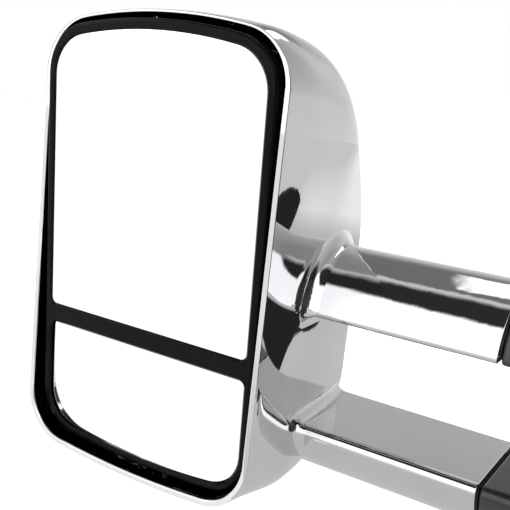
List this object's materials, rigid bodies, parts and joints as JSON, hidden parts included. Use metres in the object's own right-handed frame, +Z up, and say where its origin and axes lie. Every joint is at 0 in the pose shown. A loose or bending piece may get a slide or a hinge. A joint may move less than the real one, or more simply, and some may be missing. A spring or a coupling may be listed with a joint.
{
  "type": "car side mirror",
  "caption": "Chrome extending towing mirror with twin arms, a large flat glass over a small wide-angle glass, a power glass actuator and a folding door base.",
  "frame": {"origin": "middle of the three door studs, on the gasket's face that meets the door skin", "axes": "+X into the door, along the studs; +Y forwards, away from the glass side; +Z up"},
  "size_m": [0.4516, 0.1742, 0.3018],
  "materials": {
    "chrome": "bright chrome plating on moulded plastic",
    "mirror_glass": "silvered glass",
    "gloss_black": "glossy moulded black",
    "arm_black": "black coated casting",
    "tube_black": "black anodised",
    "cast_black": "black coated casting",
    "satin_black": "fine moulded texture",
    "moulded_black": "plain moulded plastic",
    "bearing_plastic": "acetal",
    "gear_plastic": "acetal",
    "bronze": "sintered bronze",
    "rubber": "matt rubber",
    "heater_film": "printed heater film",
    "steel": "zinc plated",
    "spring_steel": "oiled spring steel"
  },
  "bodies": {
    "door_base": {"door_bracket": "cast_black", "base_cover": "satin_black", "door_gasket": "rubber", "mounting_studs": "steel", "cable_grommet": "rubber", "pivot_pin": "steel", "pivot_washer": "steel", "pivot_nut": "steel", "pivot_cap": "satin_black", "spring_seat": "steel", "fold_spring": "spring_steel"},
    "arm_yoke": {"arm_yoke": "arm_black", "upper_pivot_bush": "bronze", "lower_pivot_bush": "bronze", "thrust_washers": "bronze", "upper_arm_tube": "tube_black", "lower_arm_tube": "tube_black", "upper_tube_stop": "bearing_plastic", "lower_tube_stop": "bearing_plastic", "tube_bolts": "steel"},
    "head": {"head_shell": "chrome", "head_frame": "moulded_black", "frame_screws": "steel", "upper_inner_bush": "bearing_plastic", "upper_outer_bush": "bearing_plastic", "lower_inner_bush": "bearing_plastic", "lower_outer_bush": "bearing_plastic", "upper_mouth_seal": "rubber", "lower_mouth_seal": "rubber", "actuator_housing": "moulded_black", "actuator_cover": "moulded_black", "actuator_screws": "steel", "tilt_motor": "steel", "pan_motor": "steel", "tilt_worm": "bronze", "pan_worm": "bronze"},
    "gimbal": {"gimbal_ring": "moulded_black", "gimbal_pins": "steel"},
    "glass": {"glass_frame": "gloss_black", "backing_plate": "moulded_black", "upper_glass": "mirror_glass", "lower_glass": "mirror_glass", "upper_heater_pad": "heater_film", "lower_heater_pad": "heater_film"},
    "tilt_plunger": {"tilt_plunger": "gear_plastic"},
    "pan_plunger": {"pan_plunger": "gear_plastic"},
    "tilt_gear": {"tilt_gear_nut": "gear_plastic"},
    "pan_gear": {"pan_gear_nut": "gear_plastic"}
  },
  "joints": [
    {"name": "fold", "type": "hinge", "parent": "door_base", "child": "arm_yoke", "pos_m": [-0.065, 0, 0], "axis": [0, 0, 1], "range_deg": [-70, 70]},
    {"name": "extend", "type": "slide", "parent": "arm_yoke", "child": "head", "axis": [-1, 0, 0], "range_m": [0, 0.1]},
    {"name": "glass_pan", "type": "hinge", "parent": "head", "child": "gimbal", "pos_m": [-0.33, -0.077, 0.0576], "axis": [0, 0, 1], "range_deg": [-6, 6]},
    {"name": "glass_tilt", "type": "hinge", "parent": "gimbal", "child": "glass", "pos_m": [-0.33, -0.077, 0.0576], "axis": [1, 0, 0], "range_deg": [-9.2, 2.8]},
    {"name": "tilt_plunger_slide", "type": "slide", "parent": "head", "child": "tilt_plunger", "axis": [0, 1, 0], "range_m": [-0.00187, 0.00615]},
    {"name": "pan_plunger_slide", "type": "slide", "parent": "head", "child": "pan_plunger", "axis": [0, 1, 0], "range_m": [-0.00402, 0.00402]},
    {"name": "tilt_gear_spin", "type": "hinge", "parent": "head", "child": "tilt_gear", "pos_m": [-0.33, -0.058, 0.0956], "axis": [0, 1, 0], "range_deg": [-134.83, 443.02]},
    {"name": "pan_gear_spin", "type": "hinge", "parent": "head", "child": "pan_gear", "pos_m": [-0.368, -0.058, 0.0576], "axis": [0, 1, 0], "range_deg": [-289.38, 289.38]}
  ],
  "couplings": [
    {"joint": "tilt_plunger_slide", "follows": "glass_tilt", "m_per_rad": -0.037941},
    {"joint": "pan_plunger_slide", "follows": "glass_pan", "m_per_rad": -0.038},
    {"joint": "tilt_gear_spin", "follows": "glass_tilt", "ratio": -47.678},
    {"joint": "pan_gear_spin", "follows": "glass_pan", "ratio": -47.752}
  ]
}
